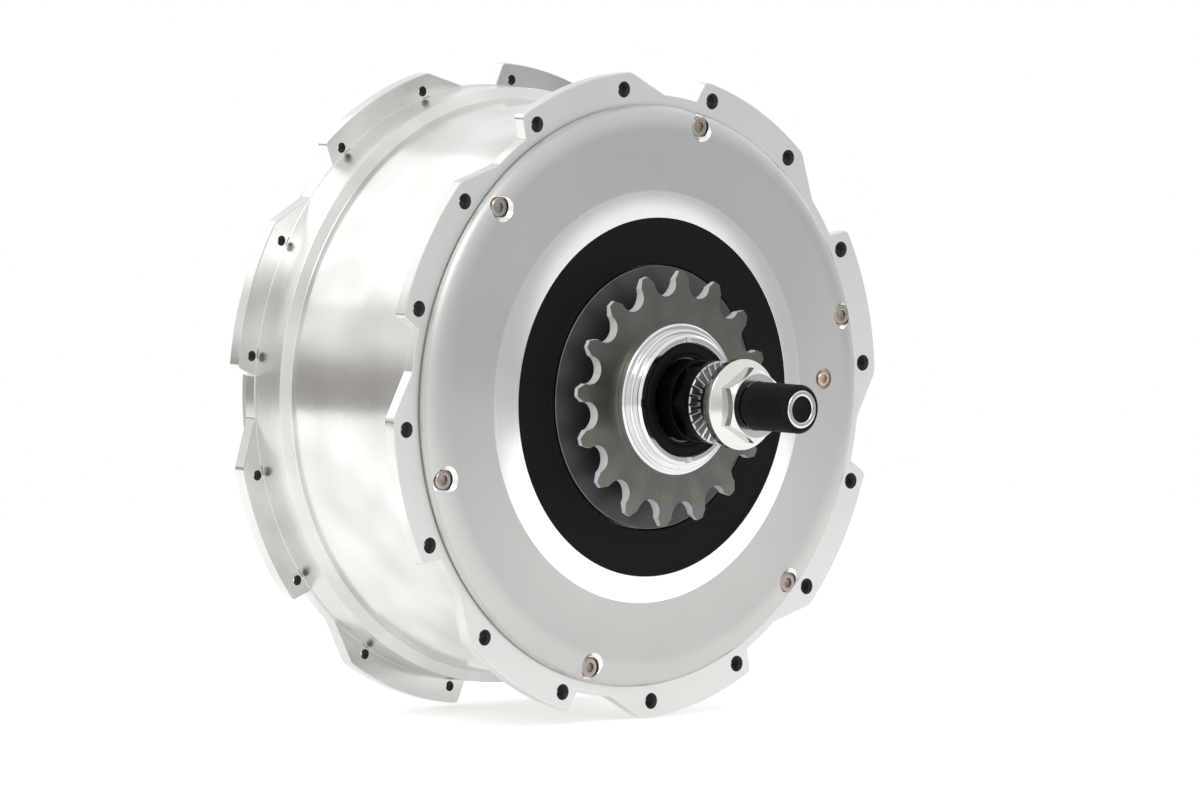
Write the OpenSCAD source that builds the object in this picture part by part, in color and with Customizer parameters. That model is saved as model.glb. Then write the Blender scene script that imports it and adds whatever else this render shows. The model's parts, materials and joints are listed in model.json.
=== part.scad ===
// Electric hub drive for a spoked bicycle wheel. The axle lies along Y, -Y is the drive side, +X is forward, +Z is up.
// The origin is on the axle, midway between the two frame dropouts. Angles run from +X towards +Z.

/* [Wheel] */
// Diameter of the spoke hole circle
spoke_pcd = 170; // [168:1:172]
// Spoke holes in each flange
spokes_per_side = 16; // [16]
// Radius of a spoke hole
spoke_hole_r = 1.45; // [1.3:0.05:1.6]
// Thickness of each spoke flange
flange_t = 3.8; // [3.4:0.2:4.2]
// Outer face of the drive side flange, from the centre
drive_flange_y = 33.5; // [33:0.5:34]
// Outer face of the left flange, from the centre
left_flange_y = 35.6; // [35:0.2:36]
// Radius over the flange lobes
lobe_r = 89.6; // [89:0.2:91]
// Radius at the floor of the notches between the lobes
notch_r = 83.4; // [83:0.2:84]

/* [Frame fit] */
// Distance between the two dropout faces
over_locknuts = 135; // [134:1:136]
// Room for a dropout plate between locknut and nut
dropout_gap = 6.5; // [6:0.5:7]
// Diameter of the threaded axle ends
axle_end_d = 12; // [12]
// Distance across the two flats of the axle ends
axle_flats = 10; // [9.6:0.2:10.4]
// Width across the flats of the axle nuts
nut_af = 18; // [17:1:19]

/* [Drive] */
// Teeth of the sprocket
sprocket_teeth = 16; // [16]
// Pitch of the chain
chain_pitch = 12.7; // [12.7]
// Diameter of a chain roller
roller_d = 7.75; // [7.6:0.05:7.9]
// Distance from the centre to the middle of the sprocket
chainline = 47.2; // [47:0.1:47.4]
// Thickness of the sprocket
sprocket_t = 3; // [2.8:0.1:3.2]

/* [Gears] */
// Module of the planetary gears
gear_module = 1; // [1]
// Teeth of the sun gear
sun_teeth = 24; // [24]
// Teeth of each planet gear
planet_teeth = 36; // [36]
// Number of planet gears
planets = 3; // [3]
// Metal taken off each tooth flank for backlash
flank_slack = 0.06; // [0.05:0.01:0.08]

/* [Motor and battery] */
// Teeth of the stator
stator_teeth = 18; // [18]
// Magnets in the rotor
magnet_count = 20; // [20]
// Number of battery cells
cell_count = 16; // [16]
// Diameter of a battery cell
cell_d = 18.4; // [18.2:0.1:18.5]
// Length of a battery cell
cell_l = 65; // [64.5:0.5:65]

/* [Hidden] */

fine = 96;                                   // facets of the preview of a round part
step = 360 / spokes_per_side;
lobes = spokes_per_side / 2;
lobe_step = 360 / lobes;
drive_hole_angle = 3.4;                      // first spoke hole of the drive side
left_hole_angle = drive_hole_angle + step / 2;
barrel_r = 80;
shell_wall = 2.7;
shell_in = barrel_r - shell_wall;
rim_in = 72.6;                               // bore of the thick rim that the cover closes
flange_in = drive_flange_y - flange_t;
left_wall_y = 43;                            // outer face of the closed left side
left_wall_in = 40.5;

cover_rim_r = 80.5;
cover_face_y = 37.8;
cover_in_y = 35.3;
gasket_t = 0.4;
cover_screw_n = 6;
cover_screw_angle = 14.5;
cover_screw_r = 76.5;
cover_edge = 8;                              // width of the cover's rounded outer edge
screw_pocket_r = 3.1;                        // pockets that the cover screws sit in, with a countersunk mouth
screw_mouth_r = 4.1;
screw_seat_y = 35.3;
boss_r = 26;
boss_end_y = 19.8;
clutch_r = 20;                               // outer race of the roller clutch, cut in the cover
seal_out = 49.4;
seal_in = 36.8;
disc_r = 36.4;
vent_r = 66;
vent_angle = 1.5;

axle_r = 8.5;
end_r = axle_end_d / 2;
dropout_y = over_locknuts / 2;
shoulder_y = dropout_y - 1;                  // where the axle steps down to its ends
locknut_t = 14.9;
nut_y = dropout_y + dropout_gap;
nut_h = 8.5;
nut_flange_r = 12.5;
axle_drive_y = 82.6;                         // drive side end of the axle
axle_left_y = 86;                            // left end of the axle
cable_bore_r = 2.7;
port_spigot_r = 3.6;
port_spigot_l = 8;
port_r = 5;
port_end_y = 97;
cap_r = 6.7;
cap_end_y = 100.2;
cable_exit_y = 24.9;
cable_exit_r = 18;

driver_bore = 13;
driver_clutch_r = 16.5;
driver_seat_r = 17.3;
driver_in_y = 28.6;
driver_out_y = 53.2;
sprocket_in_y = chainline - sprocket_t / 2;
sprocket_out_y = chainline + sprocket_t / 2;
clutch_roller_n = 10;
clutch_roller_r = 1.72;
clutch_roller_pcr = (driver_clutch_r + clutch_r) / 2;

sun_r = sun_teeth * gear_module / 2;
planet_r = planet_teeth * gear_module / 2;
ring_teeth = sun_teeth + 2 * planet_teeth;
ring_r = ring_teeth * gear_module / 2;
planet_pcr = sun_r + planet_r;
pin_r = 4;
bush_r = 5.5;
planet_start = 90;                           // direction of the first planet
gear_y = [-13.4, -3.8];
ring_out = 51.4;
ring_cup_in = 49.4;

stator_r = 44.8;
stator_in = 28;
stator_y = [6, 23];
tooth_w = 5.5;
coil_w = 11;
coil_r = [33.4, 42.2];
coil_y = [3, 26];
magnet_r = [45.4, 47.6];
bell_r = 50;
bell_y = [-3, 26];

cell_r = 61.8;
cell_start = 11.25;
cell_y0 = -31;
cell_y1 = cell_y0 + cell_l;
pack_in = 52.2;
pack_out = 71.8;
pocket_r = cell_d / 2 + 0.1;
tray_y = [29, 35.5];
holder_y = [-32.5, -28.5];
board_y = [32.5, 34.1];

// ---- helpers ----

// Turns a profile of [radius, y] points about the axle
module turned(points) rotate([-90, 0, 0]) rotate_extrude($fn = fine) polygon(points);

// A plain ring about the axle
module ring(r0, r1, y0, y1) turned([[r0, y0], [r1, y0], [r1, y1], [r0, y1]]);

// A shaft along Y
module shaft(r, y0, y1) translate([0, y1, 0]) rotate([90, 0, 0]) cylinder(r = r, h = y1 - y0, $fn = 48);

// Extrudes a shape drawn as seen from the drive side
module slab(y0, y1) translate([0, y1, 0]) rotate([90, 0, 0]) linear_extrude(y1 - y0) children();

// Moves a child out to a radius and round to an angle
module at(angle, r = 0) rotate([0, -angle, 0]) translate([r, 0, 0]) children();

// Repeats a child round the axle
module around(n, r = 0, start = 0) for (k = [0:n - 1]) at(start + k * 360 / n, r) children();

module around_2d(n, start = 0) for (k = [0:n - 1]) rotate(start + k * 360 / n) children();

module ring_2d(r0, r1) difference() {
    circle(r = r1, $fn = fine);
    circle(r = r0, $fn = fine);
}

// Points of a quarter round from a flat face to a side wall, with radius sizes a and b
function corner(r, y, a, b, s = 1) = [for (k = [0:5]) [r + a * sin(18 * k), y + s * b * cos(18 * k)]];

// Involute function in degrees
function inv(a) = tan(a) * 180 / PI - a;

// Half angle of a gear tooth at radius r
function half_tooth(z, r, slack) =
    let (rp = z * gear_module / 2, a = acos(min(1, rp * cos(20) / r)))
    90 / z - slack / rp * 180 / PI + inv(20) - inv(a);

// Outline of a gear with involute flanks and a tooth centred on +X
function gear_outline(z, r_root, r_tip, slack) = [
    for (t = [0:z - 1]) for (side = [-1, 1]) for (k = [0:2])
        let (f = side < 0 ? k / 2 : 1 - k / 2, r = r_root + (r_tip - r_root) * f,
             a = 360 * t / z + side * half_tooth(z, r, slack))
        [r * cos(a), r * sin(a)]
];

module gear_2d(z) polygon(gear_outline(z, (z / 2 - 1.25) * gear_module, (z / 2 + 1) * gear_module, flank_slack));

// Races and balls of a bearing that starts at y0: inner radius is the axle's
module inner_race(r_track, r_ball, y0, w) difference() {
    ring(axle_r, r_track - 0.45 * r_ball, y0, y0 + w);
    ball_track(r_track, r_ball, y0, w);
}

module outer_race(r_out, r_track, r_ball, y0, w) difference() {
    ring(r_track + 0.45 * r_ball, r_out, y0, y0 + w);
    ball_track(r_track, r_ball, y0, w);
}

module ball_track(r_track, r_ball, y0, w) rotate([-90, 0, 0]) translate([0, 0, y0 + w / 2])
    rotate_extrude($fn = fine) translate([r_track, 0]) circle(r = r_ball + 0.05, $fn = 32);

module balls(n, r_track, r_ball, y0, w) translate([0, y0 + w / 2, 0])
    around(n, r_track) sphere(r = r_ball, $fn = 24);

// ---- axle and what fastens it ----

// Middle of the axle, bored for the charging cable
module axle() color("DimGray") difference() {
    shaft(axle_r, -shoulder_y, shoulder_y);
    shaft(cable_bore_r, -shoulder_y - 1, cable_exit_y + cable_bore_r);
    translate([0, cable_exit_y, 0]) rotate([0, 90, 0]) cylinder(r = 2, h = 2 * axle_r, $fn = 32);
}

// Threaded ends of the axle, each with two flats
module axle_ends() color("DimGray") difference() {
    intersection() {
        turned([[0, -axle_drive_y], [end_r - 0.6, -axle_drive_y], [end_r, -axle_drive_y + 0.6],
                [end_r, axle_left_y - 0.8], [end_r - 0.8, axle_left_y], [0, axle_left_y]]);
        translate([-end_r, -axle_drive_y, -axle_flats / 2])
            cube([2 * end_r, axle_drive_y + axle_left_y, axle_flats]);
    }
    shaft(axle_r, -shoulder_y, shoulder_y);
    shaft(cable_bore_r, -axle_drive_y - 1, 0);
    shaft(port_spigot_r, -axle_drive_y - 1, -axle_drive_y + port_spigot_l);
}

// Round collar, hexagon and the flange that bears on the dropout
module locknut() difference() {
    union() {
        turned([[0, dropout_y - locknut_t], [10.2, dropout_y - locknut_t], [11.2, dropout_y - locknut_t + 1],
                [11.2, dropout_y - 8], [0, dropout_y - 8]]);
        slab(dropout_y - 8, dropout_y - 2.6) circle(r = 19 / 2 / cos(30), $fn = 6);
        turned([[0, dropout_y - 2.6], [11.2, dropout_y - 2.6], [11.5, dropout_y - 2.3], [11.5, dropout_y - 0.3],
                [11.2, dropout_y], [0, dropout_y]]);
    }
    shaft(axle_r, 0, shoulder_y);
    shaft(end_r + 0.05, 0, dropout_y + 1);
}

module both_sides() {
    children();
    mirror([0, 1, 0]) children();
}

module locknuts() color("#1b1b1c") both_sides() locknut();

// Hexagon nuts with a flange that slopes up to the hexagon
module axle_nuts() color("Gainsboro") both_sides() difference() {
    union() {
        turned([[0, nut_y], [nut_flange_r, nut_y], [nut_flange_r, nut_y + 2.6], [9.4, nut_y + 4], [0, nut_y + 4]]);
        intersection() {
            slab(nut_y + 2, nut_y + nut_h) rotate(30) circle(r = nut_af / 2 / cos(30), $fn = 6);
            turned([[0, nut_y], [nut_af, nut_y], [nut_af, nut_y + nut_h - 6.8], [nut_af / 2 - 0.2, nut_y + nut_h],
                    [0, nut_y + nut_h]]);
        }
    }
    shaft(end_r + 0.05, nut_y - 1, nut_y + nut_h + 1);
}

// Tubes that set the distances between bearings and locknuts
module axle_spacers() color("DarkGray") {
    ring(axle_r, 10.5, 32, 41);
    ring(axle_r, 10.5, 51, dropout_y - locknut_t);
    ring(axle_r, 9.9, -48, -33.5);
    ring(axle_r, 9.9, -29, -27);
}

// ---- motor, fixed to the axle ----

module stator_carrier() color("LightGray") slab(10.5, 22.5) difference() {
    ring_2d(axle_r, stator_in);
    around_2d(6) translate([20.5, 0]) circle(r = 4.6, $fn = 32);
}

module stator_core() color("SlateGray") slab(stator_y[0], stator_y[1]) {
    ring_2d(stator_in, 33);
    around_2d(stator_teeth) translate([32, -tooth_w / 2]) square([stator_r - 33, tooth_w]);
    difference() {
        ring_2d(stator_r - 2.2, stator_r);
        around_2d(stator_teeth, 180 / stator_teeth) translate([stator_r - 4, -1.3]) square([6, 2.6]);
    }
}

module stator_coils() color("Peru") around(stator_teeth) difference() {
    translate([coil_r[0], coil_y[0], -coil_w / 2]) cube([coil_r[1] - coil_r[0], coil_y[1] - coil_y[0], coil_w]);
    translate([coil_r[0] - 1, stator_y[0] - 0.2, -tooth_w / 2 - 0.15])
        cube([coil_r[1] - coil_r[0] + 2, stator_y[1] - stator_y[0] + 0.4, tooth_w + 0.3]);
}

// Strip of rotor position sensors on the coil ends
module hall_board() color("DarkGreen") slab(coil_y[1] + 0.2, coil_y[1] + 1.2) intersection() {
    ring_2d(35, 42);
    polygon([[0, 0], [60, -32], [60, 32]]);
}

module phase_wires() color("Gold") for (a = [80, 90, 100]) at(a, 30.7) shaft(1.1, stator_y[1], board_y[0]);

// ---- planet carrier, keyed to the axle ----

module planet_carrier() color("Silver") difference() {
    union() {
        ring(axle_r, 14, -19.8, -14.4);
        slab(-18.6, -14.4) difference() {
            ring_2d(axle_r, 39);
            around_2d(planets, planet_start + 180 / planets) translate([35, 0]) circle(r = 12, $fn = 48);
        }
    }
    around(planets, planet_pcr, planet_start) shaft(pin_r, -20, -14);
}

module planet_pins() color("Gainsboro") around(planets, planet_pcr, planet_start) shaft(pin_r, -18.6, -3.3);

module rotor_circlips() color("DimGray") for (y = [-1.5, 9]) slab(y + 0.05, y + 0.95) difference() {
    ring_2d(axle_r, 9.9);
    translate([0, -1.5]) square([12, 3]);
}

// ---- battery and controller, fixed to the axle ----

module cell_places() around(cell_count, cell_r, cell_start) children();

module battery_tray() color("#30343a") difference() {
    turned([[axle_r, 27], [13, 27], [13, tray_y[0]], [pack_out, tray_y[0]], [pack_out, tray_y[1]],
            [pack_in, tray_y[1]], [pack_in, 31], [13, 31], [13, 32], [axle_r, 32]]);
    cell_places() shaft(pocket_r, tray_y[0] - 1, tray_y[1] + 1);
    tie_rod_places() shaft(2, tray_y[0] - 1, tray_y[1] - 2);
    at(0, cable_exit_r) shaft(2.3, 26, 32);
    for (a = [80, 90, 100]) at(a, 30.7) shaft(1.3, 28, 32);
}

module battery_holder() color("#30343a") difference() {
    ring(pack_in, pack_out, holder_y[0], holder_y[1]);
    cell_places() shaft(pocket_r, holder_y[0] - 1, holder_y[1] + 1);
    tie_rod_places() shaft(2, holder_y[0] - 1, holder_y[1] + 1);
}

module tie_rod_places() around(cell_count / 2, cell_r, cell_start + 180 / cell_count) children();

module battery_tie_rods() color("Silver") tie_rod_places() shaft(2, holder_y[0], tray_y[1] - 2);

// Each cell is a can with a raised terminal, and the cells stand in pairs that alternate
module battery_cells() color("SteelBlue") for (k = [0:cell_count - 1]) at(cell_start + k * 360 / cell_count, cell_r) {
    up = floor(k / 2) % 2 == 0;
    shaft(cell_d / 2, up ? cell_y0 : cell_y0 + 0.8, up ? cell_y1 - 0.8 : cell_y1);
    if (up) shaft(3, cell_y1 - 1, cell_y1);
    else shaft(3, cell_y0, cell_y0 + 1);
}

// A strip that joins the cells from number first to number last
module busbar(first, last, y0, y1) slab(y0, y1) intersection() {
    ring_2d(cell_r - 4, cell_r + 4);
    let (pitch = 360 / cell_count, a0 = cell_start + (first - 0.3) * pitch, a1 = cell_start + (last + 0.3) * pitch)
        polygon(concat([[0, 0]], [for (k = [0:4]) let (a = a0 + (a1 - a0) * k / 4) 90 * [cos(a), sin(a)]]));
}

module busbars() color("Gainsboro") {
    for (first = [0:4:cell_count - 1]) busbar(first, first + 3, holder_y[0] - 0.3, holder_y[0]);
    for (first = [2:4:cell_count - 5]) busbar(first, first + 3, tray_y[1], tray_y[1] + 0.3);
    for (first = [0, cell_count - 2]) busbar(first, first + 1, tray_y[1], tray_y[1] + 0.3);
}

module controller_board() color("DarkGreen") slab(board_y[0], board_y[1]) ring_2d(16, 48);

module board_standoffs() color("Goldenrod") around(4, 42, 45) shaft(2.5, 31, board_y[0]);

module controller_capacitors() color("#26262c") for (a = [150:20:210]) at(a, 34) shaft(4, board_y[1], board_y[1] + 5.2);

module controller_transistors() color("#2b2b2b") for (a = [-45:18:45]) at(a, 36)
    translate([-5, board_y[1], -4.5]) cube([10, 2.4, 9]);

// ---- charging port in the axle end ----

module port_cable() color("#222222") {
    shaft(2.2, -axle_drive_y + port_spigot_l, cable_exit_y + 1.8);
    translate([0, cable_exit_y, 0]) rotate([0, 90, 0]) cylinder(r = 1.8, h = cable_exit_r, $fn = 32);
    at(0, cable_exit_r) shaft(1.8, cable_exit_y - 1.8, board_y[0]);
}

module port_connector() color("#202020") difference() {
    union() {
        shaft(port_spigot_r, -axle_drive_y, -axle_drive_y + port_spigot_l);
        shaft(port_r, -port_end_y, -axle_drive_y);
    }
    shaft(3.8, -port_end_y - 1, -port_end_y + 8);
    around(3, 2) shaft(0.6, -port_end_y - 1, -port_end_y + 11);
}

module port_contacts() color("Gold") around(3, 2) shaft(0.6, -port_end_y + 1.5, -port_end_y + 11);

// Bare ring in the end of the cap
module cap_ring() color("Gainsboro") turned([[3.6, -cap_end_y + 0.3], [3.6, -cap_end_y], [3.8, -cap_end_y - 0.3],
    [5, -cap_end_y - 0.3], [5.2, -cap_end_y], [5.2, -cap_end_y + 0.3]]);

module port_cap() color("#18181a") difference() {
    turned([[0, -cap_end_y], [cap_r - 0.8, -cap_end_y], [cap_r, -cap_end_y + 0.8],
            [cap_r, -axle_drive_y - 0.2], [0, -axle_drive_y - 0.2]]);
    shaft(port_r + 0.05, -port_end_y - 0.2, -axle_drive_y);
    ring(3.6, 5.2, -cap_end_y - 1, -cap_end_y + 0.3);
}

// ---- bearings ----

small_track = [10.75, 1.2];
cover_track = [11.75, 1.9];
left_track = [13, 2.4];
driver_bearings = [-52.5, -33.5];
rotor_bearings = [-0.5, 4.3];
small_w = 4.5;
cover_bearing_y = -27;
left_bearing_y = 41;

module small_inner_races() color("Silver") for (y = concat(driver_bearings, rotor_bearings))
    inner_race(small_track[0], small_track[1], y, small_w);

module driver_outer_races() color("Silver") for (y = driver_bearings)
    outer_race(driver_bore, small_track[0], small_track[1], y, small_w);

module rotor_outer_races() color("Silver") for (y = rotor_bearings)
    outer_race(driver_bore, small_track[0], small_track[1], y, small_w);

module driver_bearing_balls() color("White") for (y = driver_bearings)
    balls(14, small_track[0], small_track[1], y, small_w);

module rotor_bearing_balls() color("White") for (y = rotor_bearings)
    balls(14, small_track[0], small_track[1], y, small_w);

module cover_inner_race() color("Silver") inner_race(cover_track[0], cover_track[1], cover_bearing_y, 7);

module cover_outer_race() color("Silver") outer_race(15, cover_track[0], cover_track[1], cover_bearing_y, 7);

module cover_bearing_balls() color("White") balls(12, cover_track[0], cover_track[1], cover_bearing_y, 7);

module left_inner_race() color("Silver") inner_race(left_track[0], left_track[1], left_bearing_y, 10);

module left_outer_race() color("Silver") outer_race(17.5, left_track[0], left_track[1], left_bearing_y, 10);

module left_bearing_balls() color("White") balls(10, left_track[0], left_track[1], left_bearing_y, 10);

// ---- shell, turns with the wheel ----

// The lobes of a flange: each holds two holes, ramps up at one end and steps down at the other
module lobes_2d(first_hole) intersection() {
    ring_2d(barrel_r - 1, lobe_r);
    around_2d(lobes, first_hole + step / 2) polygon([
        for (p = [[75, -24], [notch_r - 0.6, -23], [lobe_r + 0.3, -13], [lobe_r + 6, -6], [lobe_r + 6, 8],
                  [lobe_r + 0.6, 13.4], [notch_r - 0.6, 15.2], [75, 15.2]])
            p[0] * [cos(p[1]), sin(p[1])]
    ]);
}

// Spoke holes of a flange, countersunk on its outer face
module spoke_holes(first_hole, y0, y1, face) around(spokes_per_side, spoke_pcd / 2, first_hole) {
    shaft(spoke_hole_r, y0 - 1, y1 + 1);
    translate([0, face + sign(face) * 0.2, 0]) rotate([face < 0 ? -90 : 90, 0, 0])
        cylinder(r1 = spoke_hole_r + 1, r2 = spoke_hole_r, h = 1, $fn = 32);
}

module hub_shell() color("#cfcfcd") difference() {
    union() {
        turned(concat(
            [[rim_in, -drive_flange_y], [notch_r, -drive_flange_y]],
            [for (k = [0:5]) [notch_r - 3.4 * sin(18 * k), -flange_in + 3.4 * (1 - cos(18 * k))]],
            [[barrel_r, 20], [83, 21.5], [83, left_flange_y - flange_t], [notch_r, left_flange_y - flange_t],
             [notch_r, left_flange_y], [80.5, left_flange_y]],
            [for (k = [0:5]) [76 + 4.5 * cos(18 * k), left_wall_y - 4.5 + 4.5 * sin(18 * k)]],
            [[31, left_wall_y], [25, left_wall_y + 2], [22.5, left_wall_y + 4.5], [22.5, left_wall_y + 8.4],
             [21.7, left_wall_y + 9.2], [15.2, left_wall_y + 9.2], [15.2, 51], [17.5, 51], [17.5, left_wall_in],
             [72.5, left_wall_in], [shell_in, 36], [shell_in, -20], [rim_in, -22]]));
        slab(-drive_flange_y, -flange_in) lobes_2d(drive_hole_angle);
        slab(left_flange_y - flange_t, left_flange_y) lobes_2d(left_hole_angle);
    }
    spoke_holes(drive_hole_angle, -drive_flange_y, -flange_in, -drive_flange_y);
    spoke_holes(left_hole_angle, left_flange_y - flange_t, left_flange_y, left_flange_y);
    cover_screw_places() shaft(1.3, -drive_flange_y - 1, -drive_flange_y + 9.5);
}

module cover_screw_places() around(cover_screw_n, cover_screw_r, cover_screw_angle) children();

module drive_cover() color("#c3c3c1") difference() {
    turned(concat(
        [[clutch_r, -38.2], [seal_in - 0.2, -38.2], [seal_in - 0.2, -37.2], [seal_out + 0.1, -37.2],
         [seal_out + 0.1, -39.8], [57, -cover_face_y]],
        corner(cover_rim_r - cover_edge, -drive_flange_y - gasket_t,
               cover_edge, cover_face_y - drive_flange_y - gasket_t, -1),
        [[rim_in - 0.1, -drive_flange_y - gasket_t], [rim_in - 0.1, -33], [70.6, -33], [70.6, -cover_in_y],
         [52.5, -cover_in_y], [52.5, -33], [boss_r, -33], [boss_r, -boss_end_y], [15, -boss_end_y],
         [15, cover_bearing_y], [13.6, cover_bearing_y], [13.6, -28], [clutch_r, -28]]));
    cover_screw_places() {
        shaft(screw_pocket_r, -cover_face_y - 1, -screw_seat_y);
        translate([0, -cover_face_y - 0.2, 0]) rotate([-90, 0, 0])
            cylinder(r1 = screw_mouth_r + 0.2, r2 = screw_pocket_r, h = screw_mouth_r + 0.2 - screw_pocket_r, $fn = 48);
        shaft(1.6, -cover_face_y, -30);
    }
    at(vent_angle, vent_r) {
        shaft(2.9, -cover_face_y - 1, -cover_face_y + 0.9);
        shaft(1.5, -cover_face_y, -cover_in_y + 1);
    }
    around(cover_screw_n, 44.5) shaft(1.3, -36.4, -32);
}

module cover_gasket() color("#3a3a3a") difference() {
    ring(rim_in + 0.4, cover_rim_r - 0.3, -drive_flange_y - gasket_t, -drive_flange_y);
    cover_screw_places() shaft(1.6, -drive_flange_y - 1, -drive_flange_y + 1);
}

module socket_screw(head_r, head_h, shank_r, shank_l) difference() {
    union() {
        turned([[0, -head_h], [head_r - 0.5, -head_h], [head_r, -head_h + 0.5], [head_r, 0], [0, 0]]);
        shaft(shank_r, 0, shank_l);
    }
    slab(-head_h - 1, -head_h + 1) circle(r = head_r * 0.5, $fn = 6);
}

module cover_screws() color("Gainsboro") cover_screw_places()
    translate([0, -screw_seat_y, 0]) socket_screw(2.8, 1.4, 1.25, 10.4);

module vent_plug() color("#b08050") at(vent_angle, vent_r)
    translate([0, -cover_face_y + 0.9, 0]) socket_screw(2.1, 1.3, 1.45, 1.5);

module seal_ring() color("#19181a") turned([[seal_in, -37.2], [seal_in, -39.7], [seal_in + 0.3, -40],
    [seal_out - 0.3, -40], [seal_out, -39.7], [seal_out, -37.2]]);

module left_dust_seal() color("#222222") ring(10.6, 15.1, 51.1, 52);

module ring_gear() color("Gray") difference() {
    union() {
        turned([[38, -33], [ring_out, -33], [ring_out, -14], [ring_cup_in, -14], [ring_cup_in, -30.5], [38, -30.5]]);
        slab(-14, gear_y[1] + 0.2) difference() {
            circle(r = ring_out, $fn = fine);
            rotate(planet_start + 180 / ring_teeth)
                polygon(gear_outline(ring_teeth, ring_r - gear_module, ring_r + 1.25 * gear_module, -flank_slack));
        }
    }
    around(cover_screw_n, 44.5) shaft(1.6, -34, -30);
}

module ring_gear_screws() color("DimGray") around(cover_screw_n, 44.5) mirror([0, 1, 0])
    translate([0, 30.5, 0]) socket_screw(2.7, 2, 1.25, 5.5);

// ---- rotor, turns with the sun gear ----

module rotor_core() color("DarkGray") turned([[11, bell_y[0]], [bell_r, bell_y[0]], [bell_r, bell_y[1]],
    [magnet_r[1], bell_y[1]], [magnet_r[1], 0.5], [16, 0.5], [16, 9.5], [driver_bore, 9.5], [driver_bore, -1.6],
    [11, -1.6]]);

module rotor_magnets() color("Silver") slab(4.5, 24.5) difference() {
    ring_2d(magnet_r[0], magnet_r[1]);
    around_2d(magnet_count) translate([magnet_r[0] - 1, -0.8]) square([5, 1.6]);
}

module sun_gear() color("Silver") difference() {
    union() {
        slab(gear_y[0], bell_y[0]) rotate(planet_start) gear_2d(sun_teeth);
        shaft(11, bell_y[0], -1.6);
    }
    shaft(9.1, -20, 0);
}

// ---- planet gears, on the carrier pins ----

module planet_gear(k) color("Ivory") let (a = planet_start + k * 360 / planets) at(a, planet_pcr) difference() {
    slab(gear_y[0], gear_y[1]) rotate(-180 / planet_teeth) difference() {
        gear_2d(planet_teeth);
        around_2d(6) translate([10.8, 0]) circle(r = 2.4, $fn = 24);
    }
    shaft(pin_r + 0.05, -20, 0);
}

module planet_gear_1() planet_gear(0);
module planet_gear_2() planet_gear(1);
module planet_gear_3() planet_gear(2);

// ---- freewheel driver, turns with the chain ----

module spline_2d(r, rib, w) {
    circle(r = r, $fn = fine);
    around_2d(9) translate([r - 1, -w / 2]) square([1 + rib, w]);
}

module freewheel_driver() color("Gray") difference() {
    union() {
        turned([[driver_bore, -driver_in_y], [driver_clutch_r, -driver_in_y], [driver_clutch_r, -40.2],
                [19.5, -40.2], [19.5, -sprocket_in_y], [16.9, -sprocket_in_y], [16.9, -driver_out_y],
                [driver_bore, -driver_out_y]]);
        slab(-sprocket_out_y, -sprocket_in_y) difference() {
            spline_2d(driver_seat_r, 1, 3.6);
            circle(r = 16, $fn = fine);
        }
    }
}

module clutch_rollers() color("Gainsboro") around(clutch_roller_n, clutch_roller_pcr) shaft(clutch_roller_r, -37, -29.5);

module clutch_cage() color("DarkGoldenrod") difference() {
    ring(17.3, 19.4, -37.8, -28.9);
    around(clutch_roller_n, clutch_roller_pcr) shaft(clutch_roller_r + 0.1, -37.1, -29.4);
}

// Each gap is a round roller seat that opens into sloping flanks
module sprocket() color("Silver") let (pitch_r = chain_pitch / 2 / sin(180 / sprocket_teeth), seat = roller_d / 2 + 0.08)
    slab(-sprocket_out_y, -sprocket_in_y) difference() {
        circle(r = pitch_r + 2.7, $fn = fine);
        spline_2d(driver_seat_r + 0.05, 1.05, 3.7);
        around_2d(sprocket_teeth, 5.6) {
            translate([pitch_r, 0]) circle(r = seat, $fn = 32);
            polygon([[pitch_r + 0.2, -seat], [pitch_r + 0.2, seat], [pitch_r + 3.4, seat + 3], [pitch_r + 3.4, -seat - 3]]);
        }
    }

module lockring() color("Gainsboro") difference() {
    turned([[17.4, -sprocket_out_y], [20.9, -sprocket_out_y], [20.9, -50.3], [20.4, -50.7], [19.3, -50.7],
            [19.3, -51.9], [18.9, -52.2], [18, -52.2], [18, -53.6], [17.3, -54.2], [15.9, -54.2], [15.9, -driver_out_y],
            [16.95, -driver_out_y], [16.95, -49], [17.4, -49]]);
    around(4, 16) slab(-55, -53.5) translate([-1, -1.1]) square([2.4, 2.2]);
}

module guard_disc() color("#4b4b4e") turned([[driver_clutch_r, -39.2], [disc_r - 0.3, -39.2], [disc_r, -39.5],
    [disc_r, -39.9], [disc_r - 0.3, -40.2], [driver_clutch_r, -40.2]]);

// Covers the driver's mouth round the locknut
module driver_dust_seal() color("#161616") ring(11.8, 15.7, -53.9, -driver_out_y);

axle();
axle_ends();
locknuts();
axle_nuts();
axle_spacers();
stator_carrier();
stator_core();
stator_coils();
hall_board();
phase_wires();
planet_carrier();
planet_pins();
rotor_circlips();
battery_tray();
battery_holder();
battery_cells();
battery_tie_rods();
busbars();
controller_board();
board_standoffs();
controller_capacitors();
controller_transistors();
port_cable();
port_connector();
port_contacts();
small_inner_races();
cover_inner_race();
left_inner_race();
hub_shell();
drive_cover();
cover_gasket();
cover_screws();
vent_plug();
seal_ring();
left_dust_seal();
ring_gear();
ring_gear_screws();
cover_outer_race();
cover_bearing_balls();
left_outer_race();
left_bearing_balls();
rotor_core();
rotor_magnets();
sun_gear();
rotor_outer_races();
rotor_bearing_balls();
planet_gear_1();
planet_gear_2();
planet_gear_3();
freewheel_driver();
driver_outer_races();
driver_bearing_balls();
clutch_rollers();
clutch_cage();
sprocket();
lockring();
guard_disc();
driver_dust_seal();
port_cap();
cap_ring();
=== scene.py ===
# Looks of an electric bicycle hub drive. Metres, axle along Y, drive side towards -Y, +X forward, +Z up.
import json
import math

import bmesh
import bpy
from mathutils import Matrix, Vector


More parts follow.
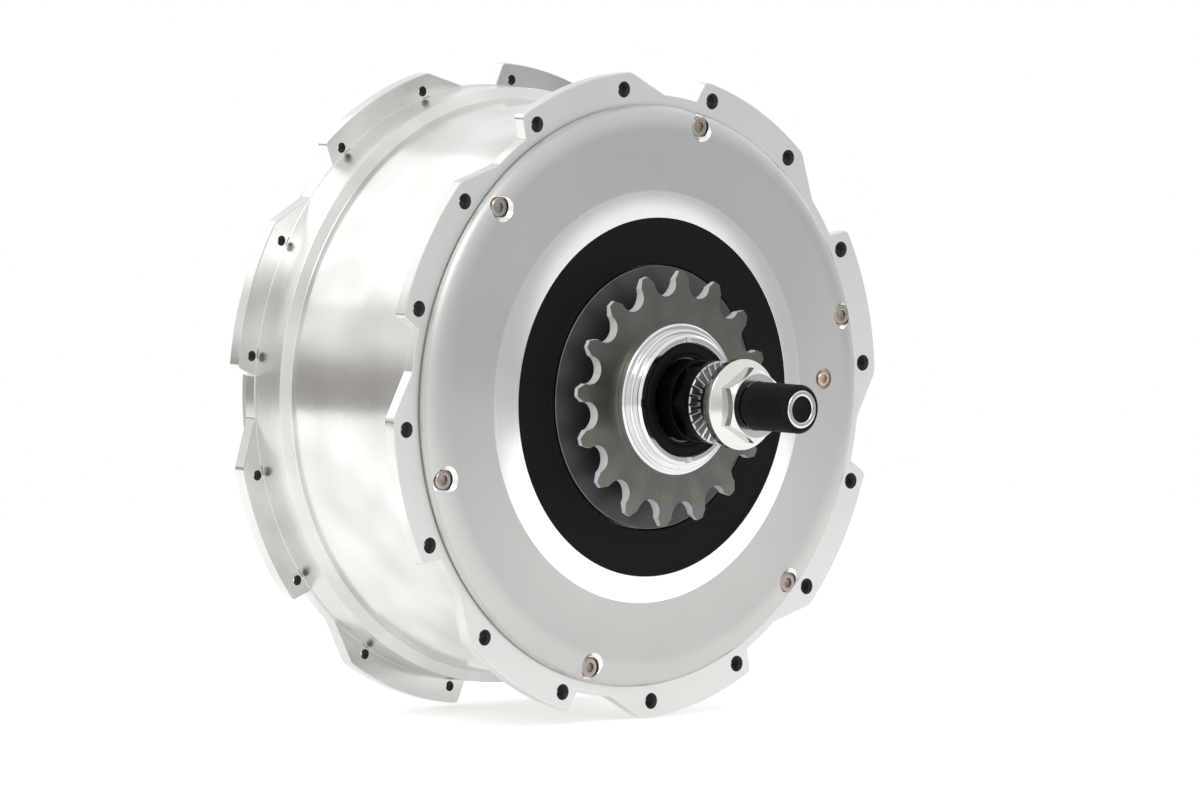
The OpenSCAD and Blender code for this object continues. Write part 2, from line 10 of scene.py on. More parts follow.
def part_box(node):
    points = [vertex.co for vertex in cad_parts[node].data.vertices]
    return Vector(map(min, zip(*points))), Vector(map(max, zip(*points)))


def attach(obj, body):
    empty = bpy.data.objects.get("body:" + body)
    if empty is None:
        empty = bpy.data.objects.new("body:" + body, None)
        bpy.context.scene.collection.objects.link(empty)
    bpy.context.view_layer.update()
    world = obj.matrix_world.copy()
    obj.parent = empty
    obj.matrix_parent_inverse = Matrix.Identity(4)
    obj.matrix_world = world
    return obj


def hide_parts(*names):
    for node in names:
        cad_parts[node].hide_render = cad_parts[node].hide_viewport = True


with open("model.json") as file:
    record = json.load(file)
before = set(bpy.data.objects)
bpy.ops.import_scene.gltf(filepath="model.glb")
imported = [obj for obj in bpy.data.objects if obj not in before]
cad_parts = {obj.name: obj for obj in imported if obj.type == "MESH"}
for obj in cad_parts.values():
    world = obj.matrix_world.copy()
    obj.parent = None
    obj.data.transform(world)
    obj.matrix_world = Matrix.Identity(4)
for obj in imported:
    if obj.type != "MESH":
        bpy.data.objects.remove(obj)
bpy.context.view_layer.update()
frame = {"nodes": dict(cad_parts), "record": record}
mm = 0.001
print("frame loaded:", len(frame["nodes"]), "CAD nodes")


# small tools for shaders

def hexColour(text):
    # sRGB hex to the linear colour that a shader takes
    parts = [int(text[i:i + 2], 16) / 255 for i in (1, 3, 5)]
    return [c / 12.92 if c <= 0.04045 else ((c + 0.055) / 1.055) ** 2.4 for c in parts] + [1.0]


def addNode(tree, kind, inputs=None, **settings):
    # one shader node with its settings, values and links
    node = tree.nodes.new("ShaderNode" + kind)
    for name, value in settings.items():
        setattr(node, name, value)
    for name, value in (inputs or {}).items():
        socket = node.inputs[name]
        if isinstance(value, bpy.types.NodeSocket):
            tree.links.new(value, socket)
        else:
            socket.default_value = value
    return node


def newMaterial(name, metallic=0.0, roughness=0.5, **sockets):
    # a Principled surface, with the coordinates that its patterns read
    material = bpy.data.materials.new(name)
    material.use_nodes = True
    tree = material.node_tree
    tree.nodes.clear()
    values = {"Metallic": metallic, "Roughness": roughness}
    values.update({socket.replace("_", " "): value for socket, value in sockets.items()})
    surface = addNode(tree, "BsdfPrincipled", values)
    addNode(tree, "OutputMaterial", {"Surface": surface.outputs["BSDF"]})
    place = addNode(tree, "TexCoord").outputs["Object"]
    return material, tree, surface, place


def setColour(tree, surface, factor, low, high):
    # the base colour runs between two hex colours
    mix = addNode(tree, "MixRGB", {"Fac": factor, "Color1": hexColour(low), "Color2": hexColour(high)})
    tree.links.new(mix.outputs["Color"], surface.inputs["Base Color"])


def setRoughness(tree, surface, factor, low, high):
    reach = addNode(tree, "MapRange", {"Value": factor, "To Min": low, "To Max": high})
    tree.links.new(reach.outputs["Result"], surface.inputs["Roughness"])


def setBump(tree, surface, heights):
    # stacks bumps given as (height, depth in millimetres)
    normal = None
    for height, depth in heights:
        inputs = {"Height": height, "Distance": depth * mm, "Strength": 1.0}
        if normal:
            inputs["Normal"] = normal
        normal = addNode(tree, "Bump", inputs).outputs["Normal"]
    tree.links.new(normal, surface.inputs["Normal"])


# aluminium finishes

def polishedAluminium(name, roughness):
    # cast aluminium polished by hand on a buff: a mirror with soft waves, hazy patches and fine wipe marks
    look = {"wave": 21.0, "waveDepth": 0.2, "ripple": 6.0, "rippleDepth": 0.02, "mark": 0.35,
            "markDepth": 0.0012, "squeeze": 0.06, "haze": (0.35, 0.7), "dull": "#d2d2cf", "clear": "#e9e8e6"}
    material, tree, surface, place = newMaterial(name, metallic=1.0)
    wave = addNode(tree, "TexNoise", {"Vector": place, "Scale": 1 / (look["wave"] * mm), "Detail": 1.0})
    ripple = addNode(tree, "TexNoise", {"Vector": place, "Scale": 1 / (look["ripple"] * mm), "Detail": 2.0})
    # marks run round the barrel, so the pattern is stretched in X and Z
    along = addNode(tree, "Mapping", {"Vector": place, "Scale": (look["squeeze"], 1.0, look["squeeze"])})
    marks = addNode(tree, "TexNoise", {"Vector": along.outputs["Vector"], "Scale": 1 / (look["mark"] * mm),
                                       "Detail": 3.0})
    haze = addNode(tree, "MapRange", {"Value": wave.outputs["Fac"], "From Min": look["haze"][0],
                                      "From Max": look["haze"][1]})
    setColour(tree, surface, haze.outputs["Result"], look["dull"], look["clear"])
    setRoughness(tree, surface, marks.outputs["Fac"], *roughness)
    setBump(tree, surface, [(wave.outputs["Fac"], look["waveDepth"]),
                            (ripple.outputs["Fac"], look["rippleDepth"]),
                            (marks.outputs["Fac"], look["markDepth"])])
    return material


def satinAluminium(name, low, high):
    # machined, glass bead blasted and clear anodised: an even silver grey with a very fine grain
    look = {"grain": 0.5, "cloud": 24.0, "grainDepth": 0.006, "roughness": (0.34, 0.5)}
    material, tree, surface, place = newMaterial(name, metallic=1.0)
    # beads are near 0.1 mm, drawn at 0.5 mm so that the grain shows
    grain = addNode(tree, "TexNoise", {"Vector": place, "Scale": 1 / (look["grain"] * mm), "Detail": 3.0})
    cloud = addNode(tree, "TexNoise", {"Vector": place, "Scale": 1 / (look["cloud"] * mm), "Detail": 2.0})
    setColour(tree, surface, cloud.outputs["Fac"], low, high)
    setRoughness(tree, surface, grain.outputs["Fac"], *look["roughness"])
    setBump(tree, surface, [(grain.outputs["Fac"], look["grainDepth"])])
    return material


def fromAxle(tree, place):
    # how far a point is from the line of the axle
    flat = addNode(tree, "VectorMath", {0: place, 1: (1.0, 0.0, 1.0)}, operation="MULTIPLY")
    return addNode(tree, "VectorMath", {0: flat.outputs["Vector"]}, operation="LENGTH").outputs["Value"]


def turnedAluminium():
    # cut on a lathe and left bright: fine rings round the axle that spread each highlight across them
    look = {"ring": 0.7, "ringDepth": 0.003, "waver": 9.0, "roughness": (0.14, 0.24)}
    material, tree, surface, place = newMaterial("turnedAluminium", metallic=1.0)
    # tool marks are near 0.15 mm apart, drawn wider so that they show
    rings = addNode(tree, "TexNoise", {"W": fromAxle(tree, place), "Scale": 1 / (look["ring"] * mm),
                                       "Detail": 3.0}, noise_dimensions="1D")
    waver = addNode(tree, "TexNoise", {"Vector": place, "Scale": 1 / (look["waver"] * mm)})
    setColour(tree, surface, waver.outputs["Fac"], "#eeeeec", "#f8f7f5")
    setRoughness(tree, surface, rings.outputs["Fac"], *look["roughness"])
    setBump(tree, surface, [(rings.outputs["Fac"], look["ringDepth"])])
    return material


def holeWallPaintedShade():
    # the walls of drilled holes where the spokes sit, painted near black as the shade deep inside them
    look = {"shadeMottle": 1.2, "depth": 0.03}
    material, tree, surface, place = newMaterial("holeWallPaintedShade", metallic=0.6, roughness=0.6)
    shadeMottle = addNode(tree, "TexNoise", {"Vector": place, "Scale": 1 / (look["shadeMottle"] * mm), "Detail": 3.0})
    # painted shade: near black with a faint mottle, for the shade deep in the holes
    setColour(tree, surface, shadeMottle.outputs["Fac"], "#1c1b1a", "#3b3a38")
    setBump(tree, surface, [(shadeMottle.outputs["Fac"], look["depth"])])
    return material


# plated, blackened and plain metals

def platedMetal(name, low, high, roughness, grain, depth, metallic=1.0, cloud=6.0):
    # a bright or dark plated part: colour drifts a little, and a fine grain breaks the gloss
    material, tree, surface, place = newMaterial(name, metallic=metallic)
    drift = addNode(tree, "TexNoise", {"Vector": place, "Scale": 1 / (cloud * mm), "Detail": 2.0})
    fine = addNode(tree, "TexNoise", {"Vector": place, "Scale": 1 / (grain * mm), "Detail": 3.0})
    setColour(tree, surface, drift.outputs["Fac"], low, high)
    setRoughness(tree, surface, fine.outputs["Fac"], *roughness)
    setBump(tree, surface, [(fine.outputs["Fac"], depth)])
    return material


def turnedMetal(name, low, high, roughness, ring, depth, metallic=1.0, cloud=5.0):
    # lathe rings round the axle, which faces and rims both show
    material, tree, surface, place = newMaterial(name, metallic=metallic)
    along = addNode(tree, "SeparateXYZ", {"Vector": place}).outputs["Y"]
    where = addNode(tree, "Math", {0: fromAxle(tree, place), 1: along}, operation="SUBTRACT").outputs["Value"]
    rings = addNode(tree, "TexNoise", {"W": where, "Scale": 1 / (ring * mm), "Detail": 3.0},
                    noise_dimensions="1D")
    drift = addNode(tree, "TexNoise", {"Vector": place, "Scale": 1 / (cloud * mm), "Detail": 2.0})
    setColour(tree, surface, drift.outputs["Fac"], low, high)
    setRoughness(tree, surface, rings.outputs["Fac"], *roughness)
    setBump(tree, surface, [(rings.outputs["Fac"], depth)])
    return material


def mouldedSurface(name, low, high, roughness, grain, depth, cloud=12.0, **sockets):
    # plastic or rubber from a mould, with the tool's texture and a faint cloudiness
    material, tree, surface, place = newMaterial(name, **sockets)
    fine = addNode(tree, "TexNoise", {"Vector": place, "Scale": 1 / (grain * mm), "Detail": 4.0})
    cloudy = addNode(tree, "TexNoise", {"Vector": place, "Scale": 1 / (cloud * mm), "Detail": 3.0})
    setColour(tree, surface, cloudy.outputs["Fac"], low, high)
    setRoughness(tree, surface, fine.outputs["Fac"], *roughness)
    setBump(tree, surface, [(fine.outputs["Fac"], depth)])
    return material


polished = polishedAluminium("polishedAluminium", (0.09, 0.24))
# the shoulder beside the left flange is hard to reach with a buff, so it stays a little duller
softPolished = polishedAluminium("lightlyPolishedAluminium", (0.26, 0.3))
satin = satinAluminium("satinAluminium", "#bfbfbd", "#c9c9c7")
# the shell's flange faces are blasted too, but left a shade lighter than the cover
satinLight = satinAluminium("paleSatinAluminium", "#dededc", "#e8e8e6")
turnedRing = turnedAluminium()
# painted shade on the walls of the spoke holes
holeShade = holeWallPaintedShade()
# chrome over polished steel: a clear mirror that shows the room, a little cold
chrome = platedMetal("chromePlatedSteel", "#d9dadb", "#e6e6e6", (0.05, 0.13), 1.4, 0.002)
# the axle nuts are plated over a tumbled surface, which blurs what they mirror
softChrome = platedMetal("tumbledChromeSteel", "#d9d8d5", "#e2e1de", (0.14, 0.2), 0.3, 0.0012)
# cut with one tool and never blasted: the countersinks of the cover screws
brightCut = platedMetal("brightCutAluminium", "#e6e6e4", "#f1f1ef", (0.12, 0.22), 0.6, 0.002)
# nickel that has yellowed a little under handling: the cover screws
nickel = platedMetal("agedNickelSteel", "#a0978f", "#b3a9a1", (0.26, 0.36), 0.35, 0.002)
# bright zinc on steel, paler and softer than chrome: the serrated faces of the locknuts. Part of the paleness
# is painted light, for the light that the bright dropout against them throws on them
zincWithPaintedLight = platedMetal("zincPlatedSteelPaintedLight", "#b4b6b8", "#c6c7c8", (0.22, 0.38), 0.6, 0.004)
# hardened steel, worn bare: the thin rim of the disc
greySteel = platedMetal("wornHardenedSteel", "#5d5b5e", "#7a787b", (0.24, 0.42), 0.7, 0.006)
# hot black oxide, oiled: near black with a low sheen
blackOxide = platedMetal("blackOxideSteel", "#09090a", "#121213", (0.3, 0.46), 0.5, 0.004, 0.9)
# dark nickel on a thin stamped disc: smoky, with a dull sheen
darkNickel = turnedMetal("darkNickelSteel", "#4a4a4d", "#58585b", (0.42, 0.56), 0.9, 0.003, 0.6)
# sprocket steel, ground flat: smoky faces, a little warm, with fine rings
sprocketSteel = turnedMetal("groundSprocketSteel", "#64635d", "#75746d", (0.26, 0.42), 0.6, 0.005)
# steel rubbed bright, painted near white and barely metallic, which also paints a highlight on it: the flanks
# of the teeth where the chain runs, and the flats of the axle
wornSteelPaintedHighlight = platedMetal("rubbedSteelPaintedHighlight", "#e9e9e7", "#f4f4f2", (0.26, 0.38), 0.5, 0.002, 0.15)
# cut and left plain, so the rings of the tool are coarser
machinedSteel = turnedMetal("machinedSteel", "#6d6e70", "#828385", (0.28, 0.44), 0.8, 0.006)
machinedAluminium = turnedMetal("machinedAluminium", "#b3b3b1", "#c3c3c1", (0.3, 0.45), 0.8, 0.006)
# bearing steel, ground fine and bright
groundSteel = turnedMetal("groundBearingSteel", "#5f6164", "#727477", (0.2, 0.32), 0.5, 0.002)
# copper turned smooth and gone pale: the plug near the cover's edge
copper = platedMetal("turnedCopper", "#c2ab99", "#d6c3b2", (0.24, 0.4), 0.5, 0.004)
# moulded rubber: deep black, dull, with the faint grey bloom that old rubber has
rubber = mouldedSurface("mouldedRubber", "#0a090b", "#100f11", (0.55, 0.72), 0.35, 0.01,
                        Specular_IOR_Level=0.14)
print("materials for the outside made")


# small tools for meshes

def polar(angle, r):
    return r * math.cos(math.radians(angle)), r * math.sin(math.radians(angle))


def arc(r, y, size, start, end, steps=6):
    # profile points on part of a circle, in degrees from outwards towards +Y
    angles = [math.radians(start + (end - start) * k / steps) for k in range(steps + 1)]
    return [(r + size * math.cos(a), y + size * math.sin(a)) for a in angles]


def roundedLoop(bm, points, rounding=0.0, degrees=25):
    # a closed loop of edges through points in millimetres, with its sharp corners rounded
    others = set(bm.faces)
    corners = [bm.verts.new([c * mm for c in point]) for point in points]
    bm.faces.new(corners)
    if rounding:
        sharp = [v for v in corners if v.calc_edge_angle() > math.radians(degrees)]
        bmesh.ops.bevel(bm, geom=sharp, offset=rounding * mm, affect="VERTICES", segments=3, profile=0.5,
                        material=-1, clamp_overlap=True)
    flat = [f for f in bm.faces if f not in others]
    edges = list({e for f in flat for e in f.edges})
    bmesh.ops.delete(bm, geom=flat, context="FACES_ONLY")
    return edges


def spinProfile(bm, points, steps=192, rounding=0.0):
    # a profile of (radius, y), with its sharp corners rounded, spun about the axle
    edges = roundedLoop(bm, [(r, y, 0) for r, y in points], rounding)
    onAxis = [e for e in edges if max(abs(v.co.x) for v in e.verts) < 1e-7]
    bmesh.ops.delete(bm, geom=onAxis, context="EDGES")
    edges = [e for e in edges if e.is_valid]
    bmesh.ops.spin(bm, geom=list({v for e in edges for v in e.verts}) + edges, cent=(0, 0, 0), axis=(0, 1, 0),
                   dvec=(0, 0, 0), angle=2 * math.pi, steps=steps, use_merge=True)
    bmesh.ops.remove_doubles(bm, verts=bm.verts, dist=1e-6)
    bmesh.ops.recalc_face_normals(bm, faces=bm.faces)


def addShaft(bm, r, y0, y1, x=0.0, z=0.0, r2=None, sides=32):
    # a closed cylinder, or a cone that ends at r2, along Y at x, z
    place = Matrix.Translation((x * mm, (y0 + y1) / 2 * mm, z * mm)) @ Matrix.Rotation(-math.pi / 2, 4, "X")
    bmesh.ops.create_cone(bm, cap_ends=True, segments=sides, radius1=r * mm,
                          radius2=(r if r2 is None else r2) * mm, depth=(y1 - y0) * mm, matrix=place)


def addBlock(bm, size, centre, angle=0.0):
    # a block of millimetre sizes at a centre, then turned about the axle
    place = Matrix.Rotation(math.radians(-angle), 4, "Y") @ Matrix.Translation([c * mm for c in centre])
    bmesh.ops.create_cube(bm, size=1.0, matrix=place @ Matrix.Diagonal([s * mm for s in size] + [1.0]))


def addHex(bm, acrossFlats, y0, y1, angle=0.0):
    # a hexagonal prism along Y whose first flat faces the given angle
    first = set(bm.verts)
    addShaft(bm, acrossFlats / 2 / math.cos(math.pi / 6), y0, y1, sides=6)
    new = [v for v in bm.verts if v not in first]
    corner = max(new, key=lambda v: v.co.x)
    turn = math.atan2(corner.co.z, corner.co.x) - math.radians(angle + 30)
    bmesh.ops.rotate(bm, verts=new, cent=(0, 0, 0), matrix=Matrix.Rotation(turn, 3, "Y"))


def extrudeOutline(bm, loops, y0, y1, rounding=0.0):
    # outlines of (x, z), the first is the outside and the rest are holes, made a plate from y0 to y1
    edges = []
    for k, loop in enumerate(loops):
        edges += roundedLoop(bm, [(x, y0, z) for x, z in loop], 0 if k else rounding, 12)
    bmesh.ops.triangle_fill(bm, use_beauty=True, edges=edges)
    bmesh.ops.dissolve_limit(bm, angle_limit=0.001, verts=[], edges=bm.edges[:])
    grown = bmesh.ops.extrude_face_region(bm, geom=bm.faces[:], use_keep_orig=True)
    moved = [g for g in grown["geom"] if isinstance(g, bmesh.types.BMVert)]
    bmesh.ops.translate(bm, verts=moved, vec=(0, (y1 - y0) * mm, 0))
    bmesh.ops.recalc_face_normals(bm, faces=bm.faces)


def roundEdges(bm, width, degrees):
    # rounds the edges that are sharper than an angle
    edges = [e for e in bm.edges if len(e.link_faces) == 2 and e.calc_face_angle() > math.radians(degrees)]
    bmesh.ops.bevel(bm, geom=edges, offset=width * mm, affect="EDGES", segments=2, profile=0.5, material=-1,
                    clamp_overlap=True)


def repeatRound(bm, copies, step):
    # copies of all that is there, turned about the axle by a step each
    turn = math.radians(-step * (copies - 1))
    bmesh.ops.spin(bm, geom=bm.verts[:] + bm.edges[:] + bm.faces[:], cent=(0, 0, 0), axis=(0, 1, 0),
                   dvec=(0, 0, 0), angle=turn, steps=copies - 1, use_duplicate=True)


def newPiece(bm, name, materials, body, stands=()):
    # a finished bmesh becomes a piece that rides on its body and stands in for CAD nodes
    mesh = bpy.data.meshes.new(name)
    bm.to_mesh(mesh)
    bm.free()
    piece = bpy.data.objects.new(name, mesh)
    bpy.context.scene.collection.objects.link(piece)
    for material in materials:
        mesh.materials.append(material)
    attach(piece, body)
    if stands:
        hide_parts(*stands)
    return piece


def combine(piece, bm, operation="DIFFERENCE"):
    # cuts a second shape from a piece, or joins it, and keeps the result as the piece's mesh
    mesh = bpy.data.meshes.new("tool")
    bm.to_mesh(mesh)
    bm.free()
    tool = bpy.data.objects.new("tool", mesh)
    bpy.context.scene.collection.objects.link(tool)
    modifier = piece.modifiers.new("combine", "BOOLEAN")
    modifier.operation = operation
    modifier.solver = "EXACT"
    modifier.object = tool
    bpy.context.view_layer.update()
    result = bpy.data.meshes.new_from_object(piece.evaluated_get(bpy.context.evaluated_depsgraph_get()))
    piece.modifiers.clear()
    bpy.data.objects.remove(tool)
    old = piece.data
    piece.data = result
    bpy.data.meshes.remove(old)
    result.name = piece.name


def finishPiece(piece, degrees=38, finishOf=None, bevel=0.0):
    # cleans the mesh, gives each face its finish, and shades it smooth up to an angle
    finishes = list(piece.data.materials)
    bm = bmesh.new()
    bm.from_mesh(piece.data)
    bmesh.ops.remove_doubles(bm, verts=bm.verts, dist=2e-6)
    bmesh.ops.dissolve_degenerate(bm, edges=bm.edges, dist=1e-6)
    if bevel:
        roundEdges(bm, bevel, 40)
    bm.normal_update()
    for face in bm.faces:
        face.smooth = True
        face.material_index = finishes.index(finishOf(face)) if finishOf else 0
    for edge in bm.edges:
        edge.smooth = len(edge.link_faces) == 2 and edge.calc_face_angle() < math.radians(degrees)
    bm.to_mesh(piece.data)
    bm.free()
    weighted = piece.modifiers.new("even shading", "WEIGHTED_NORMAL")
    weighted.keep_sharp = True


def middleOf(face):
    # radius and y of a face's middle, in millimetres
    middle = face.calc_center_median() / mm
    return math.hypot(middle.x, middle.z), middle.y


# hub shell

shell = {
    "barrelR": 80.0, "bandR": 83.0, "rimIn": 72.6, "wallIn": 77.3, "notchR": 83.4, "lobeR": 89.6,
    "driveY": -33.5, "leftY": 35.6, "bandY": 20.0, "flange": 3.8, "edge": 0.35,
    "circleR": 85.0, "holeR": 1.45, "holes": 16, "driveAngle": 3.4, "leftAngle": 14.65,
    "sinkWide": 1.0, "sinkDeep": 0.8,
    "screwR": 76.5, "screwAngle": 14.5, "screws": 6, "tappedR": 1.3, "tappedY": -24.0,
}
shell["driveIn"], shell["leftIn"] = shell["driveY"] + shell["flange"], shell["leftY"] - shell["flange"]

# degrees from the middle of a lobe's two holes; crown and floor are how far each runs
lobe = {"rampFoot": -23.2, "crownStart": -13.3, "crown": 26.9, "stepFoot": 15.2, "floor": 6.6}


def lobeOutline(firstHole):
    # each of eight lobes ramps up, runs over two holes and drops at a steep step; its root hides in the rim
    root = shell["notchR"] - 0.8
    points = []
    for k in range(shell["holes"] // 2):
        middle = firstHole + 180 / shell["holes"] + 720 / shell["holes"] * k
        crown = [middle + lobe["crownStart"] + lobe["crown"] * s / 14 for s in range(15)]
        floor = [middle + lobe["stepFoot"] + lobe["floor"] * s / 3 for s in range(3)]
        points.append(polar(middle + lobe["rampFoot"], root))
        points += [polar(angle, shell["lobeR"]) for angle in crown] + [polar(angle, root) for angle in floor]
    return points


def holePlaces(firstHole):
    return [polar(firstHole + 360 * k / shell["holes"], shell["circleR"]) for k in range(shell["holes"])]


def screwPlaces():
    step = 360 / shell["screws"]
    return [polar(shell["screwAngle"] + step * k, shell["screwR"]) for k in range(shell["screws"])]


def shellProfile():
    # (radius, y) of the drive rim, barrel, raised band, left rim, domed wall and boss, then the inside
    driveY, leftY, notchR, barrelR = (shell[name] for name in ("driveY", "leftY", "notchR", "barrelR"))
    bandR, bandY, corner = shell["bandR"], shell["bandY"], notchR - barrelR
    outside = [(shell["rimIn"], driveY), (notchR, driveY)]
    outside += arc(notchR, shell["driveIn"] + corner, corner, -90, -180, 8)
    outside += [(barrelR, bandY), (bandR, bandY + 1.5), (bandR, shell["leftIn"])]
    outside += [(notchR, shell["leftIn"]), (notchR, leftY), (80.5, leftY)] + arc(76, 38.5, 4.5, 0, 90, 10)
    boss = [(31, 43), (25, 45), (22.5, 47.5), (22.5, 51.4), (21.7, 52.2), (15.2, 52.2), (15.2, 51)]
    inside = [(17.5, 51), (17.5, 40.5), (72.5, 40.5), (shell["wallIn"], 36), (shell["wallIn"], -20)]
    return outside + boss + inside + [(shell["rimIn"], -22)]


def makeHubShell():
    past, overlap = 1.5, 0.01
    flanges = ((shell["driveAngle"], shell["driveY"], shell["driveIn"]),
               (shell["leftAngle"], shell["leftIn"], shell["leftY"]))
    bm = bmesh.new()
    spinProfile(bm, shellProfile(), rounding=0.35)
    piece = newPiece(bm, "hubShell", [polished, satinLight, holeShade, machinedAluminium, softPolished, satin],
                     "shell", ["hub_shell"])
    inner = [polar(a, shell["barrelR"] - 1) for a in range(0, 360, 3)]
    for firstHole, y0, y1 in flanges:
        bm = bmesh.new()
        extrudeOutline(bm, [lobeOutline(firstHole), inner], y0, y1, rounding=1.0)
        roundEdges(bm, shell["edge"], 60)
        combine(piece, bm, "UNION")
    bm = bmesh.new()
    for firstHole, y0, y1 in flanges:
        for x, z in holePlaces(firstHole):
            addShaft(bm, shell["holeR"], y0 - past, y1 + past, x, z, sides=24)
    combine(piece, bm)
    # countersinks of the spoke holes on both outer faces, and the tapped holes for the cover screws
    bm = bmesh.new()
    wide, narrow = shell["holeR"] + shell["sinkWide"], shell["holeR"] - overlap
    above, below = shell["sinkWide"] - shell["sinkDeep"], shell["sinkDeep"]
    for x, z in holePlaces(shell["driveAngle"]):
        addShaft(bm, wide, shell["driveY"] - above, shell["driveY"] + below, x, z, r2=narrow, sides=24)
    for x, z in holePlaces(shell["leftAngle"]):
        addShaft(bm, narrow, shell["leftY"] - below, shell["leftY"] + above, x, z, r2=wide, sides=24)
    for x, z in screwPlaces():
        addShaft(bm, shell["tappedR"], shell["driveY"] - 1, shell["tappedY"], x, z, sides=16)
    combine(piece, bm)
    holes = holePlaces(shell["driveAngle"]), holePlaces(shell["leftAngle"])

    def finishOf(face):
        r, y = middleOf(face)
        onFlange = r > 82 and (y < shell["driveIn"] + 0.2 or y > shell["leftIn"] - 0.2)
        # the walls of the spoke holes get the painted shade
        if onFlange and abs(face.normal.y) < 0.9:
            middle = face.calc_center_median() / mm
            nearest = min(math.hypot(middle.x - x, middle.z - z) for x, z in holes[y > 0])
            if nearest < shell["holeR"] + 0.9:
                return holeShade
        if y > shell["leftY"] + 0.1:
            return satin
        if face.normal.y < -0.9 and y < shell["driveY"] + 0.2 or y > shell["leftY"] - 0.3:
            return satinLight
        if r < 78 and y < 41:
            return machinedAluminium
        onBand = shell["barrelR"] + 0.5 < r < shell["bandR"] + 0.3
        return softPolished if onBand and shell["bandY"] < y < shell["leftIn"] + 0.1 else polished
    finishPiece(piece, finishOf=finishOf)


makeHubShell()
print("hub shell made")


# cover with its screws and plug

cover = {
    "rimR": 80.5, "backY": -33.9, "faceY": -37.8, "edge": 8.0, "wallY": -35.3,
    "sealIn": 36.6, "sealOut": 49.5, "sealY": -37.2, "crestY": -39.8, "ringOut": 57.0,
    "pocketR": 3.1, "mouthR": 4.1, "pocketY": -35.3, "screwHoleR": 1.6,
    "ventR": 66.0, "ventAngle": 1.5, "ventSeatR": 2.9, "ventSeatY": -36.9, "ventHoleR": 1.5,
}


def coverProfile():
    # (radius, y) of the nose, seal groove, sloping bright ring, flat face and rounded corner, then the back
    faceY, backY, rimR, seal, wallY = (cover[name] for name in ("faceY", "backY", "rimR", "sealY", "wallY"))
    corner = [(rimR - cover["edge"] * (1 - math.sin(a)), faceY + (backY - faceY) * (1 - math.cos(a)))
              for a in [math.pi / 2 * k / 14 for k in range(15)]]
    front = [(20, -38.2), (cover["sealIn"], -38.2), (cover["sealIn"], seal), (cover["sealOut"], seal)]
    front += [(cover["sealOut"], cover["crestY"]), (cover["ringOut"], faceY)]
    back = [(72.5, backY), (72.5, -33), (70.6, -33), (70.6, wallY), (52.5, wallY), (52.5, -33), (26, -33)]
    back += [(26, -19.8), (15, -19.8), (15, -27), (13.6, -27), (13.6, -28), (20, -28)]
    return front + corner + back


def makeDriveCover():
    front, behind, overlap = cover["faceY"] - 1.2, -30.0, 0.01
    bm = bmesh.new()
    spinProfile(bm, coverProfile(), steps=224, rounding=0.2)
    piece = newPiece(bm, "driveCover", [satin, turnedRing, brightCut, machinedAluminium], "shell",
                     ["drive_cover"])
    # pockets, then their countersunk mouths, then the holes through them
    pockets, vent = screwPlaces(), polar(cover["ventAngle"], cover["ventR"])
    bm = bmesh.new()
    for x, z in pockets:
        addShaft(bm, cover["pocketR"], front, cover["pocketY"], x, z, sides=40)
    addShaft(bm, cover["ventSeatR"], front, cover["ventSeatY"], *vent, sides=40)
    combine(piece, bm)
    bm = bmesh.new()
    sunk, above = cover["mouthR"] - cover["pocketR"], 0.2
    for x, z in pockets:
        addShaft(bm, cover["mouthR"] + above, cover["faceY"] - above, cover["faceY"] + sunk, x, z,
                 r2=cover["pocketR"] - overlap, sides=40)
    combine(piece, bm)
    bm = bmesh.new()
    for x, z in pockets:
        addShaft(bm, cover["screwHoleR"], front, behind, x, z, sides=24)
    addShaft(bm, cover["ventHoleR"], front, behind, *vent, sides=24)
    combine(piece, bm)

    def finishOf(face):
        r, y = middleOf(face)
        middle = face.calc_center_median() / mm
        out = min((Vector((middle.x - x, 0, middle.z - z)) for x, z in pockets), key=lambda v: v.length)
        # a countersink leans in over its pocket, which tells it from the cover's edge around it
        leansIn = face.normal.dot(out.normalized()) < -0.4
        inPocket = out.length < cover["pocketR"] + 0.05 or leansIn and out.length < cover["mouthR"] + 0.1
        if inPocket and y > cover["faceY"] + 0.05:
            return brightCut if y < cover["pocketY"] + 0.1 else machinedAluminium
        if cover["sealOut"] - 0.2 < r < cover["ringOut"] + 0.2 and y < cover["faceY"] + 0.5:
            return turnedRing
        onBack = y > cover["wallY"] - 0.2 and r < 80
        return machinedAluminium if onBack or r < cover["sealOut"] - 0.2 else satin
    finishPiece(piece, finishOf=finishOf)


def socketScrew(bm, headR, headH, shankR, shankL, seatY, socketAcross, place):
    # a socket head screw, head towards -Y, turned on the axle's line and then moved to its place
    depth, chamfer, topY, socketR = 1.2, 0.45, seatY - headH, socketAcross / 2 * 1.02
    profile = [(0, topY + depth), (socketR, topY + depth), (socketR, topY), (headR - chamfer, topY)]
    profile += [(headR, topY + chamfer), (headR, seatY), (shankR, seatY), (shankR, seatY + shankL)]
    profile += [(0, seatY + shankL)]
    spinProfile(bm, profile, steps=40, rounding=0.12)
    bmesh.ops.translate(bm, verts=bm.verts, vec=(place[0] * mm, 0, place[1] * mm))


def makeCoverScrews():
    look = {"headR": 2.8, "headH": 1.4, "shankR": 1.25, "shankL": 10.4, "socketAcross": 2.6}
    bm = bmesh.new()
    socketScrew(bm, seatY=cover["pocketY"], place=screwPlaces()[0], **look)
    repeatRound(bm, shell["screws"], 360 / shell["screws"])
    finishPiece(newPiece(bm, "coverScrews", [nickel], "shell", ["cover_screws"]))


